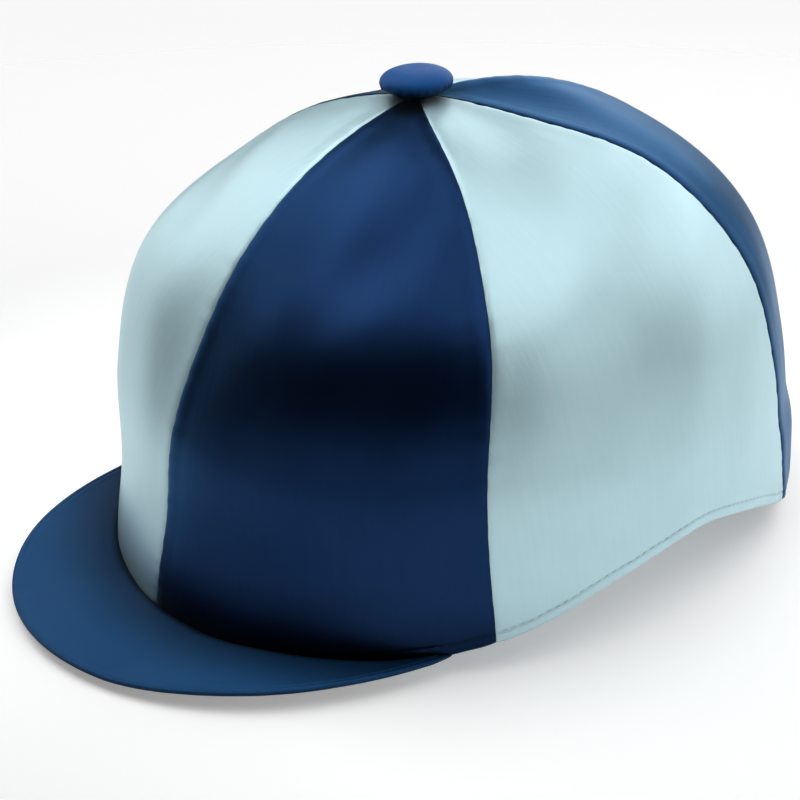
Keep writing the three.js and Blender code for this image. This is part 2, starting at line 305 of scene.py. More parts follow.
# Strength and height in metres of the bumps
KNIT_STRENGTH, KNIT_HEIGHT = 0.10, 0.00008
GRAIN_HEIGHT = 0.0002
STREAK_STRENGTH, STREAK_HEIGHT = 0.05, 0.0008
SHEEN_ROUGHNESS = 0.35
# Painted shade: reach in metres and samples of the ambient occlusion that darkens the cloth's
# colour
PAINTED_SHADE_REACH, PAINTED_SHADE_SAMPLES = 0.028, 8


def cloth_material(
    name, dark, light, edge, roughness, metallic, specular, sheen, pitch, weave, fuzz, painted_crease_shade
):
    """Fine cloth in the cut's own millimetres. dark and light are its colours in the hollows and
    on the threads, edge is its tint where it turns away, and the crease power sets how strongly
    painted shade, from ambient occlusion, darkens the colour where other cloth is near: in
    folds, seams and where parts meet. Satin takes its coloured gloss from its filaments, which
    the metallic share stands for."""
    material, tree, shader = tree_of(name)
    link = tree.links.new
    uv = add(tree, "ShaderNodeUVMap", uv_map="cloth_mm").outputs["UV"]
    stretch = add(tree, "ShaderNodeMapping")
    stretch.inputs["Scale"].default_value = STREAK_SCALE
    link(uv, stretch.inputs["Vector"])
    wales = ribs(tree, uv, "X", pitch)
    courses = ribs(tree, uv, "Y", pitch * COURSE_SHARE)
    knit = math_node(tree, "MULTIPLY", wales, courses)
    patch = noise(tree, uv, PATCH_SCALE, PATCH_DETAIL)
    streak = noise(tree, stretch.outputs["Vector"], 1.0, STREAK_DETAIL)
    grain = noise(tree, uv, GRAIN_SCALE, GRAIN_DETAIL)
    tone = math_node(tree, "MULTIPLY", streak, STREAK_TONE)
    tone = math_node(tree, "MULTIPLY_ADD", patch, PATCH_TONE, tone)
    tone = math_node(tree, "MULTIPLY_ADD", knit, weave, tone)
    ramp = add(tree, "ShaderNodeValToRGB")
    low, high = ramp.color_ramp.elements[0], ramp.color_ramp.elements[1]
    low.position, low.color = DARK_TONE, (*dark, 1)
    high.position, high.color = LIGHT_TONE, (*light, 1)
    link(tone, ramp.inputs["Fac"])
    # Painted shade: ambient occlusion darkens the base colour in folds, seams and where parts meet
    painted_occlusion = add(tree, "ShaderNodeAmbientOcclusion", samples=PAINTED_SHADE_SAMPLES)
    painted_occlusion.inputs["Distance"].default_value = PAINTED_SHADE_REACH
    shade = add(tree, "ShaderNodeVectorMath", operation="SCALE")
    link(ramp.outputs["Color"], shade.inputs[0])
    link(math_node(tree, "POWER", painted_occlusion.outputs["AO"], painted_crease_shade), shade.inputs["Scale"])
    link(shade.outputs["Vector"], shader.inputs["Base Color"])
    smoothest = roughness - PATCH_ROUGHNESS / 2
    rough = math_node(tree, "MULTIPLY_ADD", patch, PATCH_ROUGHNESS, smoothest)
    link(rough, shader.inputs["Roughness"])
    normal = bump(tree, knit, KNIT_STRENGTH + weave, KNIT_HEIGHT)
    normal = bump(tree, grain, fuzz, GRAIN_HEIGHT, normal)
    normal = bump(tree, streak, STREAK_STRENGTH, STREAK_HEIGHT, normal)
    link(normal, shader.inputs["Normal"])
    shader.inputs["Metallic"].default_value = metallic
    shader.inputs["Specular Tint"].default_value = (*edge, 1)
    shader.inputs["Specular IOR Level"].default_value = specular
    shader.inputs["Sheen Weight"].default_value = sheen
    shader.inputs["Sheen Roughness"].default_value = SHEEN_ROUGHNESS
    shader.inputs["Sheen Tint"].default_value = (*edge, 1)
    return material


SATIN = {"pitch": 0.5, "weave": 0.05, "fuzz": 0.06}
COVER = {
    "edge": (0.35, 0.62, 1.0), "metallic": 0.0, "specular": 0.15, "sheen": 0.04,
    "pitch": 0.6, "weave": 0.12, "fuzz": 0.22,
}
NAVY_SATIN = cloth_material(
    "navy_satin_knit", (0.0050, 0.0208, 0.071), (0.0073, 0.0298, 0.099), (0.50, 0.73, 1.0),
    roughness=0.33, metallic=0.9, specular=0.5, sheen=0.15, painted_crease_shade=3.0, **SATIN,
)
PALE_SATIN = cloth_material(
    "pale_satin_knit", (0.475, 0.70, 0.77), (0.555, 0.80, 0.865), (0.92, 0.98, 1.0),
    roughness=0.38, metallic=0.42, specular=1.0, sheen=0.0, painted_crease_shade=0.6, **SATIN,
)
PEAK_CLOTH = cloth_material(
    "navy_peak_cover", (0.0108, 0.064, 0.174), (0.0143, 0.084, 0.228),
    roughness=0.60, painted_crease_shade=2.6, **COVER,
)
BUTTON_CLOTH = cloth_material(
    "navy_button_cover", (0.0135, 0.081, 0.272), (0.0175, 0.105, 0.355),
    roughness=0.55, painted_crease_shade=1.3, **COVER,
)


TWIST_SCALE, TWIST_DARK, TWIST_LIGHT = 2600.0, 0.6, 1.25
THREAD_ROUGHNESS, THREAD_SPECULAR = 0.7, 0.2


def thread_material(name, colour):
    material, tree, shader = tree_of(name)
    link = tree.links.new
    place = add(tree, "ShaderNodeTexCoord")
    twist = add(tree, "ShaderNodeTexNoise")
    twist.inputs["Scale"].default_value = TWIST_SCALE
    link(place.outputs["Object"], twist.inputs["Vector"])
    ramp = add(tree, "ShaderNodeValToRGB")
    ramp.color_ramp.elements[0].color = (*[c * TWIST_DARK for c in colour], 1)
    ramp.color_ramp.elements[1].color = (*[min(c * TWIST_LIGHT, 1) for c in colour], 1)
    link(twist.outputs["Fac"], ramp.inputs["Fac"])
    link(ramp.outputs["Color"], shader.inputs["Base Color"])
    shader.inputs["Roughness"].default_value = THREAD_ROUGHNESS
    shader.inputs["Specular IOR Level"].default_value = THREAD_SPECULAR
    return material


NAVY_THREAD = thread_material("navy_thread", (0.006, 0.020, 0.060))
PALE_THREAD = thread_material("pale_thread", (0.6, 0.8, 0.84))

# Gores. The columns crowd towards the seams, and the rows are finer in the lowest part.
COLUMNS, ROWS_UP, ROWS_LOW = 68, 108, 40
EDGE_PULL = 0.9
LOW_PART = 0.075
PLACE_PASSES = 6
EYELET = 3.3
# Roll into the seam and lift beside it, in millimetres: the allowances lie under the navy gores
SEAM_ROLL = 2.2
SEAM_DEPTHS, SEAM_LIFTS = {"navy": 0.35, "pale": 0.50}, {"navy": 0.12, "pale": 0.06}
LIFT_AT, LIFT_SPREAD = 4.0, 2.2
# Where a gore is narrower or the cloth is nearer to the button than this, it lies calmer
CALM_WIDTH, CALM_TOP = 26.0, 14.0
TUCK_DEPTH, TUCK_SPREAD, TUCK_WIDTH = 1.3, 18.0, 8.0
RIPPLE_PITCHES, RIPPLE_HEIGHT, RIPPLE_REACH = (5.2, 7.9, 12.7), 0.10, 5.0
SLACK_PITCHES, SLACK_HEIGHT, SLACK_SLANT, SLACK_EDGE = (37.0, 53.0, 71.0), 0.22, 0.25, 12.0
# The hem begins to show a little before the peak's end
PEAK_HALF_ANGLE = 63.0
HEM_START, HEM_RAMP = PEAK_HALF_ANGLE - 9.0, 7.0
RIM_ROLL, RIM_DEPTH, RIM_RISE = 1.6, 1.1, 0.25
HEM_STITCH, HEM_GROOVE, HEM_GROOVE_SPREAD = 4.6, 0.28, 0.6
HEM_RIDGE, HEM_RIDGE_BLEND = 0.16, 0.7
PULL_PITCHES, PULL_HEIGHT, PULL_AT, PULL_SPREAD = (8.3, 12.9, 23.0), 0.13, 3.0, 4.5
# Inside: a wall a little thinner than the solid's, with the hem and the seam allowances on it
WALL_THICKNESS = CLOTH_THICKNESS - 0.3
HEM_STEP_BLEND = 0.35
ALLOWANCE_WIDTH, ALLOWANCE_BLEND, ALLOWANCE_SHARE = 6.0, 0.4, 0.75
RIM_THINNING, RIM_THINNING_HEIGHT = 0.9, 2.0
INSIDE_FOLLOW, INSIDE_LIMIT = 0.3, 0.2


def eyelet_elevation(azimuth):
    a = np.radians(azimuth)
    reach = np.hypot(HALF_WIDTH * np.sin(a), HALF_LENGTH * np.cos(a))
    return np.degrees(np.arccos(EYELET / (reach * CROWN_SECTIONS[0, 0])))


def place_in_gore(seam_from, seam_to, across, down):
    elevation = np.zeros_like(across)
    for _ in range(PLACE_PASSES):
        a, b = seam_azimuth(seam_from, elevation), seam_azimuth(seam_to, elevation)
        azimuth = a + (b - a) * across
        top = eyelet_elevation(azimuth)
        rim = elevation_at(azimuth, rim_height(azimuth))
        elevation = top + (rim - top) * down
    return azimuth, elevation


def along_lengths(points, axis):
    """Running length in millimetres along one axis of a grid of points."""
    steps = np.linalg.norm(np.diff(points, axis=axis), axis=-1)
    pad = [(0, 0), (0, 0)]
    pad[axis] = (1, 0)
    return np.pad(np.cumsum(steps, axis=axis), pad)


def waves_along(length, pitches, rng):
    """Uneven ripple of height about 1 along a seam."""
    total = np.zeros_like(length)
    for pitch in pitches:
        total += np.sin(2 * math.pi * length / pitch + rng.uniform(0, 2 * math.pi))
    return total / math.sqrt(len(pitches))


def grid_faces(rows, columns, start=0, flip=False):
    i, j = np.meshgrid(np.arange(rows - 1), np.arange(columns - 1), indexing="ij")
    a = (start + i * columns + j).ravel()
    quad = np.stack([a, a + columns, a + columns + 1, a + 1], axis=1)
    return quad[:, ::-1] if flip else quad


def shell_faces(rows, columns, flip=False):
    """Closed wall between an outer grid and, after it, an inner grid."""
    n = rows * columns
    faces = [grid_faces(rows, columns), grid_faces(rows, columns, n, flip=True)]
    i = np.arange(rows - 1)
    for j, turned in ((0, False), (columns - 1, True)):
        a, b = i * columns + j, (i + 1) * columns + j
        quad = np.stack([a, a + n, b + n, b], axis=1)
        faces.append(quad[:, ::-1] if turned else quad)
    j = np.arange(columns - 1)
    for i, turned in ((0, False), (rows - 1, True)):
        a, b = i * columns + j, i * columns + j + 1
        quad = np.stack([a, b, b + n, a + n], axis=1)
        faces.append(quad[:, ::-1] if turned else quad)
    faces = np.concatenate(faces)
    return faces[:, ::-1] if flip else faces


def gore_grid(seam_from, seam_to, seam_depth, lift_height, tucked, rng):
    """Outer and inner points of a gore of the left side, with the cloth's own coordinates. A
    tucked gore lies lower beside the back seam, under the edge of its neighbour."""
    t = np.linspace(0, 1, COLUMNS + 1)
    across = t - EDGE_PULL * np.sin(2 * math.pi * t) / (2 * math.pi)
    upper = np.linspace(0, 1 - LOW_PART, ROWS_UP + 1)
    lower = np.linspace(1 - LOW_PART, 1, ROWS_LOW + 1)[1:]
    down = np.concatenate([upper, lower])
    across, down = np.broadcast_arrays(across[None, :], down[:, None])
    azimuth, elevation = place_in_gore(seam_from, seam_to, across.copy(), down.copy())
    base = crown_point(azimuth, elevation)
    normal = crown_normal(azimuth, elevation)
    width = along_lengths(base, 1)
    length = along_lengths(base, 0)
    full = width[:, -1:]
    edge = np.minimum(width, full - width)
    above_rim = length[-1:, :] - length
    fade = rise(full, CALM_WIDTH)
    near_top = rise(length, CALM_TOP)
    # The cloth rolls into each seam, and the seam's allowances lift it a little beside the roll.
    roll = np.clip(1 - edge / (SEAM_ROLL * fade + 1e-6), 0, 1) ** 2
    lift = lift_height * bell(edge - LIFT_AT, LIFT_SPREAD) * fade
    offset = -seam_depth * fade * roll + lift
    if tucked:
        offset = offset - TUCK_DEPTH * bell(full - width, TUCK_SPREAD) * rise(full, TUCK_WIDTH)
    for seam, distance in ((0, width), (-1, full - width)):
        ripple = RIPPLE_HEIGHT * waves_along(length[:, [seam]], RIPPLE_PITCHES, rng)
        offset = offset + ripple * np.exp(-distance / RIPPLE_REACH) * fade * near_top
    # The hem is turned up and stitched: rolled rim, stitch groove and slight pulls between. Over
    # the peak the crown's edge is sewn in, so nothing of the hem shows there.
    bare = rise(azimuth - HEM_START, HEM_RAMP)
    rolled = bare * np.clip(1 - above_rim / RIM_ROLL, 0, 1) ** 2
    offset = offset - RIM_DEPTH * rolled
    offset = offset - bare * HEM_GROOVE * bell(above_rim - HEM_STITCH, HEM_GROOVE_SPREAD)
    pull = PULL_HEIGHT * waves_along(width[-1:, :], PULL_PITCHES, rng)
    offset = offset + bare * pull * bell(above_rim - PULL_AT, PULL_SPREAD)
    ridge = HEM_RIDGE * step_down(above_rim, HEM_DEPTH, HEM_RIDGE_BLEND)
    offset = offset + bare * ridge - HEM_RIDGE
    # Broad slack: soft folds that run down from the button and shallow dents low down.
    slack = waves_along(width + SLACK_SLANT * length, SLACK_PITCHES, rng)
    offset = offset + SLACK_HEIGHT * slack * rise(edge, SLACK_EDGE) * near_top
    outer = base + normal * offset[..., None]
    outer[..., 2] += RIM_RISE * rolled
    # Inside, the seam allowances and the turned hem lie on the wall.
    hem = step_down(above_rim, HEM_DEPTH, HEM_STEP_BLEND)
    allowance = step_down(edge, ALLOWANCE_WIDTH, ALLOWANCE_BLEND) * fade
    doubled = np.maximum(hem, ALLOWANCE_SHARE * allowance)
    wall = WALL_THICKNESS + (HEM_THICKNESS - CLOTH_THICKNESS) * doubled
    wall = wall - RIM_THINNING * np.clip(1 - above_rim / RIM_THINNING_HEIGHT, 0, 1) ** 2
    inset = np.minimum(offset, INSIDE_LIMIT) * INSIDE_FOLLOW - wall
    inner = base + normal * inset[..., None]
    inner[-1, :, 2] = outer[-1, :, 2]
    return outer, inner, np.stack([width - full / 2, length], axis=-1), azimuth


# Name, side, gore counted from the front and colour. A positive side is the wearer's left.
PANELS = [
    ("front_left", 1, 0, "navy"),
    ("side_left", 1, 1, "pale"),
    ("rear_left", 1, 2, "navy"),
    ("front_right", -1, 0, "pale"),
    ("side_right", -1, 1, "navy"),
    ("rear_right", -1, 2, "pale"),
]
TUCKED_PANEL = "rear_right"
CLOTHS = {"navy": NAVY_SATIN, "pale": PALE_SATIN}
THREADS = {"navy": NAVY_THREAD, "pale": PALE_THREAD}
LEFT_SEED, RIGHT_SEED = 11, 21
STITCH_LENGTH, STITCH_GAP, STITCH_STEP = 2.5, 0.7, 0.05
THREAD_RADIUS, THREAD_END, THREAD_LIFT, THREAD_FLATNESS = 0.17, 0.25, 0.9, 0.8
STITCH_SIDES, STITCH_RINGS = 6, 5
# Stitches keep off the seams, in millimetres, and begin just before the peak's end, in degrees
STITCH_MARGIN, STITCH_START = 1.2, PEAK_HALF_ANGLE - 4.0


def stitch_run(points, normals):
    """Short capsules of thread along a line of points: one vertex list and its faces."""
    length = np.concatenate([[0], np.cumsum(np.linalg.norm(np.diff(points, axis=0), axis=1))])
    count = int(length[-1] // (STITCH_LENGTH + STITCH_GAP))
    verts, faces = [], []
    sides, rings = STITCH_SIDES, STITCH_RINGS
    for s in range(count):
        start = (s + 0.5) * length[-1] / count - STITCH_LENGTH / 2
        for r in range(rings):
            at = start + STITCH_LENGTH * r / (rings - 1)
            p = np.array([np.interp(at, length, points[:, k]) for k in range(3)])
            n = unit(np.array([np.interp(at, length, normals[:, k]) for k in range(3)]))
            q = np.array([np.interp(at + STITCH_STEP, length, points[:, k]) for k in range(3)])
            t = unit(q - p)
            b = unit(np.cross(t, n))
            bow = math.sin(math.pi * r / (rings - 1))
            wide = THREAD_RADIUS * (THREAD_END + (1 - THREAD_END) * bow)
            centre = p + n * (THREAD_RADIUS * THREAD_LIFT * bow)
            for a in range(sides):
                turn = 2 * math.pi * a / sides
                around = math.cos(turn) * b + THREAD_FLATNESS * math.sin(turn) * n
                verts.append(centre + wide * around)
        base = s * rings * sides
        for r in range(rings - 1):
            for a in range(sides):
                c = (a + 1) % sides
                low, high = base + r * sides, base + (r + 1) * sides
                faces.append((low + a, low + c, high + c, high + a))
        last = base + (rings - 1) * sides
        faces.append(tuple(base + a for a in range(sides))[::-1])
        faces.append(tuple(last + a for a in range(sides)))
    return np.array(verts), faces


def make_panel(name, side, gore, colour):
    """One gore and the stitches of its hem."""
    rng = np.random.default_rng(gore + (RIGHT_SEED if side < 0 else LEFT_SEED))
    outer, inner, cloth, azimuth = gore_grid(
        *GORES[gore][:2], SEAM_DEPTHS[colour], SEAM_LIFTS[colour], name == TUCKED_PANEL, rng
    )
    mirror = np.array([side, 1, 1])
    rows, columns = outer.shape[:2]
    points = np.concatenate([(outer * mirror).reshape(-1, 3), (inner * mirror).reshape(-1, 3)])
    uvs = np.concatenate([cloth.reshape(-1, 2)] * 2)
    faces = shell_faces(rows, columns, flip=side < 0)
    panel = make_mesh("cloth_" + name, points, faces, CLOTHS[colour], uvs)
    dress(panel, ["panel_" + name])
    above_rim = cloth[-1, :, 1] - cloth[..., 1]
    row = np.argmin(np.abs(above_rim - HEM_STITCH), axis=0)
    column = np.arange(columns)
    line = outer[row, column] * mirror
    down = np.gradient(outer, axis=0)[row, column]
    ring = np.gradient(outer, axis=1)[row, column]
    normals = unit(np.cross(down, ring)) * mirror
    run = cloth[-1, :, 0]
    keep = (run > run[0] + STITCH_MARGIN) & (run < run[-1] - STITCH_MARGIN)
    keep &= azimuth[-1] > STITCH_START
    verts, faces = stitch_run(line[keep], normals[keep])
    dress(make_mesh("hem_stitches_" + name, verts, faces, THREADS[colour]))


for panel_row in PANELS:
    make_panel(*panel_row)

# Peak
PEAK_REACH, PEAK_THICKNESS, PEAK_END_THICKNESS, PEAK_END_WIDTH = 43.0, 2.6, 1.4, 1.5
PEAK_LIFT = 3.0
# How the width falls towards the ends, and how far the peak fans out
PEAK_TAPER, PEAK_FAN = 1.3, 0.8
# The cover's root is sewn in, so it meets the crown's cloth with no slit
PEAK_TUCK, PEAK_END_TUCK = 0.45, 1.75
# The cover's ends are folded thin, over this share of the peak on either side
PEAK_END_SHARE, PEAK_END_THIN, PEAK_END_NARROW = 0.045, 0.5, 0.15
PEAK_COLUMNS, PEAK_ROWS, PEAK_EDGE_ROWS = 220, 44, 10
PEAK_SPAN, PEAK_CROWDING = 0.999, 0.8
# Round edge over its cord, then, so far in from it, a fine groove and a slight swell
CORD_WIDTH, CORD_ROUNDING, EDGE_ROUNDING = 1.1, 0.75, 0.45
GROOVE_AT, GROOVE_SPREAD, GROOVE_DEPTH = 1.9, 0.35, 0.22
SWELL_AT, SWELL_SPREAD, SWELL_HEIGHT = 3.2, 1.1, 0.1
# The cover turns down at its root where the peak is wide enough for it
TURN_REACH, TURN_DEPTH = 2.8, 0.75
TURN_FROM_WIDTH, TURN_RAMP = 3.2, 8.0
# Length of cloth round half the peak, and the ripple behind the edge
PEAK_HALF_RUN = 130.0
PEAK_RIPPLE_PITCHES, PEAK_RIPPLE_HEIGHT = (9.0, 14.0, 31.0), 0.06
PEAK_RIPPLE_AT, PEAK_RIPPLE_SPREAD = 3.0, 3.0
PEAK_SEED = 5


def peak_points(place, out, share):
    """Points of the peak. place runs from -1 to 1 round it, out from its root to its edge, and
    share from its underside to its top."""
    azimuth = place * PEAK_HALF_ANGLE
    a = np.radians(azimuth) * PEAK_FAN
    body = PEAK_END_THICKNESS + (PEAK_THICKNESS - PEAK_END_THICKNESS) * np.sqrt(1 - place**2)
    width = PEAK_REACH * (1 - place**2) ** PEAK_TAPER + PEAK_END_WIDTH
    end = np.sqrt(rise(1 - np.abs(place), PEAK_END_SHARE))
    body = body * (PEAK_END_THIN + (1 - PEAK_END_THIN) * end)
    width = width * (PEAK_END_NARROW + (1 - PEAK_END_NARROW) * end)
    z = rim_height(azimuth) + body * share
    root = crown_point(azimuth, elevation_at(azimuth, z))
    away = np.stack([np.sin(a), -np.cos(a), np.zeros_like(a)], axis=-1)
    tuck = PEAK_END_TUCK + (PEAK_TUCK - PEAK_END_TUCK) * end
    points = root + away * (width * out - tuck * (1 - end * out))[..., None]
    points[..., 2] = z + PEAK_LIFT * (1 - place**2) * out**2
    return points, away, width, body


def make_peak():
    places = np.sin(np.linspace(-math.pi / 2, math.pi / 2, PEAK_COLUMNS + 1) * PEAK_SPAN)
    steps = np.linspace(0, 1, PEAK_ROWS + 1) ** PEAK_CROWDING
    edge = 1 - np.arange(1, PEAK_EDGE_ROWS) / PEAK_EDGE_ROWS
    ring_out = np.concatenate([steps, np.ones_like(edge), steps[::-1]])
    ring_share = np.concatenate([np.ones_like(steps), edge, np.zeros_like(steps)])
    place, out = np.broadcast_arrays(places[None, :], ring_out[:, None])
    share = np.broadcast_to(ring_share[:, None], place.shape)
    points, away, width, body = peak_points(place, out, share)
    inward, outward = width * (1 - out), width * out
    side = np.sign(share - 0.5)
    flat = np.abs(share - 0.5) * 2
    on_face, on_top, on_edge = flat == 1, share == 1, out == 1
    # The cover is turned over a thin edge cord: a round edge, then a fine groove behind it.
    cord = 1 - rise(inward, CORD_WIDTH)
    bulge = np.sqrt(1 - CORD_ROUNDING * (flat * cord) ** 2)
    points[..., 2] += (bulge - 1) * body / 2 * side * flat
    groove = GROOVE_DEPTH * bell(inward - GROOVE_AT, GROOVE_SPREAD)
    swell = SWELL_HEIGHT * bell(inward - SWELL_AT, SWELL_SPREAD)
    points[..., 2] += side * (swell - groove) * on_face
    points += away * (EDGE_ROUNDING * (1 - flat**2) * on_edge)[..., None]
    # The cover turns down into the seam with the crown.
    turned = (1 - rise(outward, TURN_REACH)) ** 2 * rise(width - TURN_FROM_WIDTH, TURN_RAMP)
    points[..., 2] -= TURN_DEPTH * turned * on_top
    rng = np.random.default_rng(PEAK_SEED)
    run = place * PEAK_HALF_RUN
    ripple = PEAK_RIPPLE_HEIGHT * waves_along(run, PEAK_RIPPLE_PITCHES, rng)
    ripple = ripple * bell(inward - PEAK_RIPPLE_AT, PEAK_RIPPLE_SPREAD)
    points[..., 2] += side * ripple * on_face
    uvs = np.stack([run, outward], axis=-1)
    rows, columns = points.shape[:2]
    faces = [grid_faces(rows, columns, flip=True)]
    j = np.arange(columns - 1)
    last = (rows - 1) * columns
    faces.append(np.stack([j, j + 1, last + j + 1, last + j], axis=1)[:, ::-1])
    faces = [tuple(f) for f in np.concatenate(faces)]
    faces.append(tuple(i * columns for i in range(rows)))
    faces.append(tuple(i * columns + columns - 1 for i in range(rows))[::-1])
    peak = make_mesh("peak_cover", points.reshape(-1, 3), faces, PEAK_CLOTH, uvs.reshape(-1, 2))
    dress(peak, ["peak"])


make_peak()

# Button
BUTTON_DIAMETER, BUTTON_THICKNESS, BUTTON_TILT, BUTTON_LIFT = 25.4, 8.3, 3.0, 0.1
BUTTON_UNDERSIDE, BUTTON_WIDEST, BUTTON_SHOULDER = 0.68, 0.48, 0.62
SHANK_DIAMETER, SHANK_LENGTH = 7.0, 6.0
BUTTON_SIDES, BUTTON_POLE = 144, 0.01
UNDERSIDE_RINGS, UNDERSIDE_RISE = 9, 0.25
# The cover's outline is an arc, from below the button's widest place to its top, in degrees
COVER_RINGS, COVER_START, COVER_ARC = 60, -50, 140
PLEAT_COUNTS, PLEAT_DEPTH, PLEAT_PHASES = (19, 26, 31), 0.3 / 2.2, 6.28
PLEAT_LEVEL, PLEAT_SPREAD, PLEAT_START, PLEAT_RAMP = 1.6, 2.6, 1.0, 4.0
TOP_START, TOP_WAVES, TOP_WAVE_PHASE, TOP_WAVE_HEIGHT = 0.45, 3, 1.0, 0.10
BUTTON_CLOTH_SLANT = 0.2
BUTTON_SEED = 3
# Where the crown under the button is felt for its seat
SEAT_AZIMUTHS, SEAT_ELEVATIONS = np.arange(0, 360, 10.0), np.arange(89, 80, -1.0)


def button_seat():
    tilt = math.radians(BUTTON_TILT)
    axis = np.array([0, -math.sin(tilt), math.cos(tilt)])
    apex = crown_point(0.0, 90.0)
    azimuth, elevation = np.meshgrid(SEAT_AZIMUTHS, SEAT_ELEVATIONS)
    azimuth = np.where(azimuth > 180, azimuth - 360, azimuth)
    around = crown_point(azimuth, elevation) - apex
    near = np.hypot(around[..., 0], around[..., 1]) < BUTTON_DIAMETER / 2
    seat = max(0.0, float((around @ axis)[near].max()))
    return apex + axis * (seat + BUTTON_LIFT), tilt


def button_profile():
    """Radius and height of the button's outline, from the shank's end to the middle of its top."""
    radius, height, shank = BUTTON_DIAMETER / 2, BUTTON_THICKNESS, SHANK_DIAMETER / 2
    profile = [(BUTTON_POLE, -SHANK_LENGTH), (shank, -SHANK_LENGTH), (shank, 0)]
    for k in range(1, UNDERSIDE_RINGS + 1):
        part = k / UNDERSIDE_RINGS
        reach = shank + (radius * BUTTON_UNDERSIDE - shank) * part
        profile.append((reach, UNDERSIDE_RISE * part**3))
    for k in range(1, COVER_RINGS + 1):
        a = math.radians(COVER_START + COVER_ARC * k / COVER_RINGS)
        part = BUTTON_WIDEST if math.sin(a) < 0 else 1 - BUTTON_WIDEST
        reach = radius * max(math.cos(a), 0) ** BUTTON_SHOULDER
        profile.append((reach, height * (BUTTON_WIDEST + part * math.sin(a))))
    profile[-1] = (BUTTON_POLE, profile[-1][1])
    return np.array(profile, float).T


def make_button():
    radius, height = button_profile()
    turn = np.linspace(0, 2 * math.pi, BUTTON_SIDES, endpoint=False)
    rng = np.random.default_rng(BUTTON_SEED)
    rr, tt = np.meshgrid(radius, turn, indexing="ij")
    zz = np.broadcast_to(height[:, None], rr.shape)
    run = np.concatenate([[0], np.cumsum(np.hypot(np.diff(radius), np.diff(height)))])
    # The cover is gathered under the button: pleats that die out over its shoulder.
    beyond = rr - SHANK_DIAMETER / 2 - PLEAT_START
    low = bell(zz - PLEAT_LEVEL, PLEAT_SPREAD) * rise(beyond, PLEAT_RAMP)
    pleat = sum(np.sin(k * tt + rng.uniform(0, PLEAT_PHASES)) for k in PLEAT_COUNTS)
    rr = rr + PLEAT_DEPTH * pleat * low
    top = rise(zz / BUTTON_THICKNESS - TOP_START, 1 - TOP_START)
    wave = TOP_WAVE_HEIGHT * np.sin(TOP_WAVES * tt + TOP_WAVE_PHASE)
    zz = zz + wave * rr / (BUTTON_DIAMETER / 2) * top
    x, y = rr * np.cos(tt), rr * np.sin(tt)
    seat, tilt = button_seat()
    c, s = math.cos(tilt), math.sin(tilt)
    points = np.stack([x, y * c - zz * s, y * s + zz * c], axis=-1) + seat
    uvs = np.stack([x, y + run[:, None] * BUTTON_CLOTH_SLANT], axis=-1).reshape(-1, 2)
    rows, sides = rr.shape
    i, j = np.meshgrid(np.arange(rows - 1), np.arange(sides), indexing="ij")
    a, b = i * sides + j, i * sides + (j + 1) % sides
    faces = [tuple(f) for f in np.stack([a, b, b + sides, a + sides], axis=-1).reshape(-1, 4)]
    faces.append(tuple(range(sides))[::-1])
    faces.append(tuple((rows - 1) * sides + k for k in range(sides)))
    button = make_mesh("button_cover", points.reshape(-1, 3), faces, BUTTON_CLOTH, uvs)
    dress(button, ["button"])


make_button()

# Stage, light and camera, in metres unless said otherwise
FLOOR_COLOUR, FLOOR_ROUGHNESS, FLOOR_DROP = (0.9, 0.9, 0.9), 0.9, 0.0002
FLOOR_FADE_START, FLOOR_FADE_END, FLOOR_HALF_SIZE = 0.35, 0.95, 1.0
# Painted pool of light: the floor's emission round the cap, and the radii in metres where it fades
# out
PAINTED_POOL_GLOW, PAINTED_POOL_START, PAINTED_POOL_END = 0.33, 0.10, 0.34
SURROUND_RADIUS, SURROUND_BEND, SURROUND_DROP = 6.0, 1.5, 0.004
SURROUND_SIDES, SURROUND_STEPS, SURROUND_GLOW = 96, 24, 0.94
ROOM_COLOUR = (0.02, 0.02, 0.02)
# Softboxes round the cap: azimuth from the front towards the wearer's left, elevation, watts
SOFTBOXES = [
    (-68, 66, 6.8), (-68, 40, 5.0), (-82, 9, 3.8),
    (112, 66, 4.6), (112, 40, 2.2), (112, 14, 2.6),
    (172, 66, 1.8), (172, 40, 3.0), (172, 14, 5.0),
    (-8, 66, 1.0), (52, 80, 1.3), (-150, 4, 1.2), (-143, 24, 6.4),
]
SOFTBOX_SIZE, SOFTBOX_DISTANCE, SOFTBOX_TARGET = 1.1, 1.5, Vector((0, 0, 0.08))
# The camera that fits the photograph's outline and seams, in degrees, millimetres and pixels
CAMERA_AZIMUTH, CAMERA_ELEVATION, CAMERA_DISTANCE = 52.0, 22.54, 677.23
CAMERA_YAW, CAMERA_PITCH, CAMERA_ROLL = -2.0, -2.43, 0.35
CAMERA_TARGET, CAMERA_RISE, CAMERA_BACK = 70.0, 3.8, 24.5
FOCAL_PIXELS, FRAME_PIXELS, SENSOR_WIDTH = 1821.66, 800, 36.0
CAMERA_NEAR, CAMERA_FAR = 0.01, 50


def plain_material(name, colour, roughness):
    material, _, shader = tree_of(name)
    shader.inputs["Base Color"].default_value = (*colour, 1)
    shader.inputs["Roughness"].default_value = roughness
    return material, shader


def smooth_falloff(tree, start, end, near, far):
    """near inside radius start about the origin, far beyond radius end."""
    place = add(tree, "ShaderNodeTexCoord")
    radius = add(tree, "ShaderNodeVectorMath", operation="LENGTH")
    fall = add(tree, "ShaderNodeMapRange", interpolation_type="SMOOTHSTEP")
    fall.inputs["From Min"].default_value, fall.inputs["From Max"].default_value = start, end
    fall.inputs["To Min"].default_value, fall.inputs["To Max"].default_value = near, far
    tree.links.new(place.outputs["Object"], radius.inputs[0])
    tree.links.new(radius.outputs["Value"], fall.inputs["Value"])
    return fall.outputs["Result"]


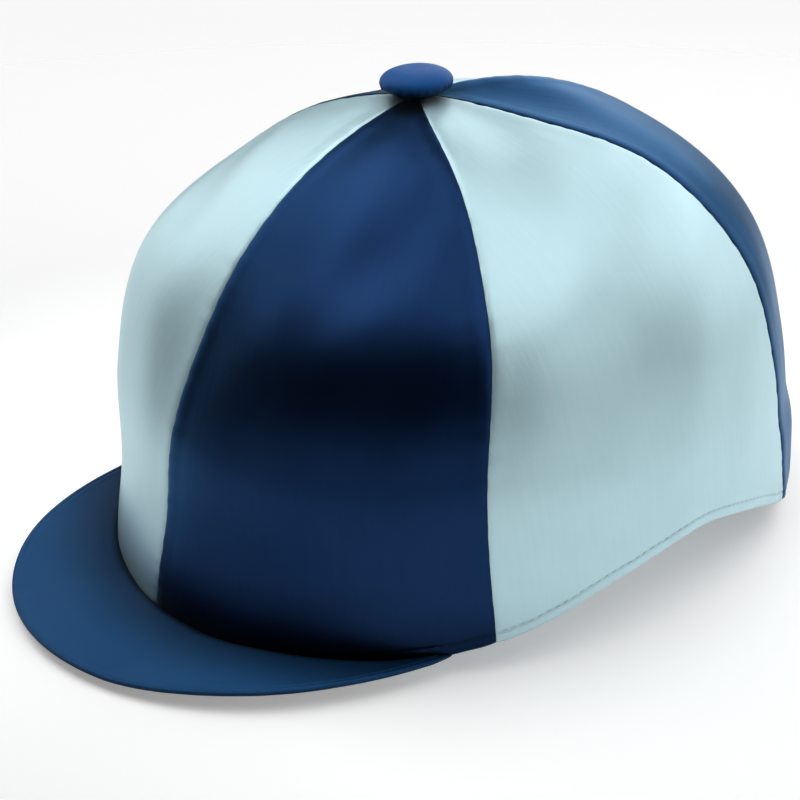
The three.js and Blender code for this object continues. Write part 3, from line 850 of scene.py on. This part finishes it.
def make_floor():
    """A pale floor with a painted pool of light: it glows a little round the cap, as if under a
    lamp, and melts outward into the surround."""
    mesh = bpy.data.meshes.new("floor")
    s = FLOOR_HALF_SIZE
    mesh.from_pydata([(-s, -s, 0), (s, -s, 0), (s, s, 0), (-s, s, 0)], [], [(0, 1, 2, 3)])
    paint, shader = plain_material("floor_paint", FLOOR_COLOUR, FLOOR_ROUGHNESS)
    tree = paint.node_tree
    shader.inputs["Emission Color"].default_value = (1, 1, 1, 1)
    # Painted pool of light: emission, strongest round the cap and fading out with distance
    painted_pool = smooth_falloff(tree, PAINTED_POOL_START, PAINTED_POOL_END, PAINTED_POOL_GLOW, 0.0)
    tree.links.new(painted_pool, shader.inputs["Emission Strength"])
    cover = smooth_falloff(tree, FLOOR_FADE_START, FLOOR_FADE_END, 1.0, 0.0)
    tree.links.new(cover, shader.inputs["Alpha"])
    mesh.materials.append(paint)
    floor = bpy.data.objects.new("floor", mesh)
    floor.location.z = -FLOOR_DROP
    bpy.context.scene.collection.objects.link(floor)


def make_surround():
    """A pale bowl under and behind the floor, which is seen but neither lights the cap nor shows
    in its gloss."""
    sides, steps, bend = SURROUND_SIDES, SURROUND_STEPS, SURROUND_BEND
    level = SURROUND_RADIUS - bend
    profile = [(0.0, 0.0), (level, 0.0)]
    for k in range(1, steps + 1):
        a = math.pi / 2 * k / steps
        profile.append((level + bend * math.sin(a), bend * (1 - math.cos(a))))
    profile.append((SURROUND_RADIUS, SURROUND_RADIUS))
    turn = [2 * math.pi * k / sides for k in range(sides)]
    points = [
        (r * math.cos(a), r * math.sin(a), z - SURROUND_DROP) for r, z in profile for a in turn
    ]
    faces = []
    for i in range(len(profile) - 1):
        for k in range(sides):
            j = (k + 1) % sides
            faces.append((i * sides + k, i * sides + j, (i + 1) * sides + j, (i + 1) * sides + k))
    mesh = bpy.data.meshes.new("surround")
    mesh.from_pydata(points, [], faces)
    paint, shader = plain_material("surround_paint", (0.0, 0.0, 0.0), 1.0)
    shader.inputs["Specular IOR Level"].default_value = 0.0
    shader.inputs["Emission Color"].default_value = (1, 1, 1, 1)
    shader.inputs["Emission Strength"].default_value = SURROUND_GLOW
    mesh.materials.append(paint)
    bowl = bpy.data.objects.new("surround", mesh)
    bowl.visible_diffuse = False
    bowl.visible_glossy = False
    bowl.visible_shadow = False
    bpy.context.scene.collection.objects.link(bowl)


def make_world():
    """The room beyond the softboxes is dark, so that the satin keeps its dark band."""
    world = bpy.data.worlds.new("studio")
    world.use_nodes = True
    world.node_tree.nodes["Background"].inputs["Color"].default_value = (*ROOM_COLOUR, 1)
    bpy.context.scene.world = world


def make_softbox(azimuth, elevation, power):
    a, e = math.radians(azimuth), math.radians(elevation)
    away = Vector((math.sin(a) * math.cos(e), -math.cos(a) * math.cos(e), math.sin(e)))
    name = f"softbox_{azimuth}_{elevation}"
    light = bpy.data.lights.new(name, "AREA")
    light.shape = "RECTANGLE"
    light.size = light.size_y = SOFTBOX_SIZE
    light.energy = power
    obj = bpy.data.objects.new(name, light)
    obj.location = SOFTBOX_TARGET + away * SOFTBOX_DISTANCE
    obj.rotation_mode = "QUATERNION"
    obj.rotation_quaternion = (-away).to_track_quat("-Z", "Y")
    bpy.context.scene.collection.objects.link(obj)


def turn_pair(pair, degrees):
    """Two square unit vectors, turned in their plane."""
    c, s = math.cos(math.radians(degrees)), math.sin(math.radians(degrees))
    return pair[0] * c + pair[1] * s, pair[1] * c - pair[0] * s


def make_camera():
    """Camera at the photograph's angle. It was fitted with x forward, so it is turned at the
    end."""
    azimuth, elevation = math.radians(CAMERA_AZIMUTH), math.radians(CAMERA_ELEVATION)
    ca, sa, ce, se = math.cos(azimuth), math.sin(azimuth), math.cos(elevation), math.sin(elevation)
    away = np.array([ca * ce, sa * ce, se])
    right, up = np.array([-sa, ca, 0]), np.array([-ca * se, -sa * se, ce])
    view, right = turn_pair((-away, right), CAMERA_YAW)
    view, up = turn_pair((view, up), CAMERA_PITCH)
    right, up = turn_pair((right, up), CAMERA_ROLL)

    def to_row(v):
        return Vector((v[1], -v[0], v[2]))

    spot = to_row(away * CAMERA_DISTANCE + [0, 0, CAMERA_TARGET + CAMERA_RISE])
    spot.y += CAMERA_BACK
    spot *= MM
    camera = bpy.data.cameras.new("camera")
    camera.sensor_width = SENSOR_WIDTH
    camera.lens = FOCAL_PIXELS / FRAME_PIXELS * SENSOR_WIDTH
    camera.clip_start, camera.clip_end = CAMERA_NEAR, CAMERA_FAR
    obj = bpy.data.objects.new("camera", camera)
    side, up, back = to_row(right), to_row(up), -to_row(view)
    obj.matrix_world = Matrix((
        (side.x, up.x, back.x, spot.x),
        (side.y, up.y, back.y, spot.y),
        (side.z, up.z, back.z, spot.z),
        (0, 0, 0, 1),
    ))
    bpy.context.scene.collection.objects.link(obj)
    bpy.context.scene.camera = obj


make_floor()
make_surround()
make_world()
for softbox in SOFTBOXES:
    make_softbox(*softbox)
make_camera()
bpy.context.scene.view_settings.view_transform = "Standard"
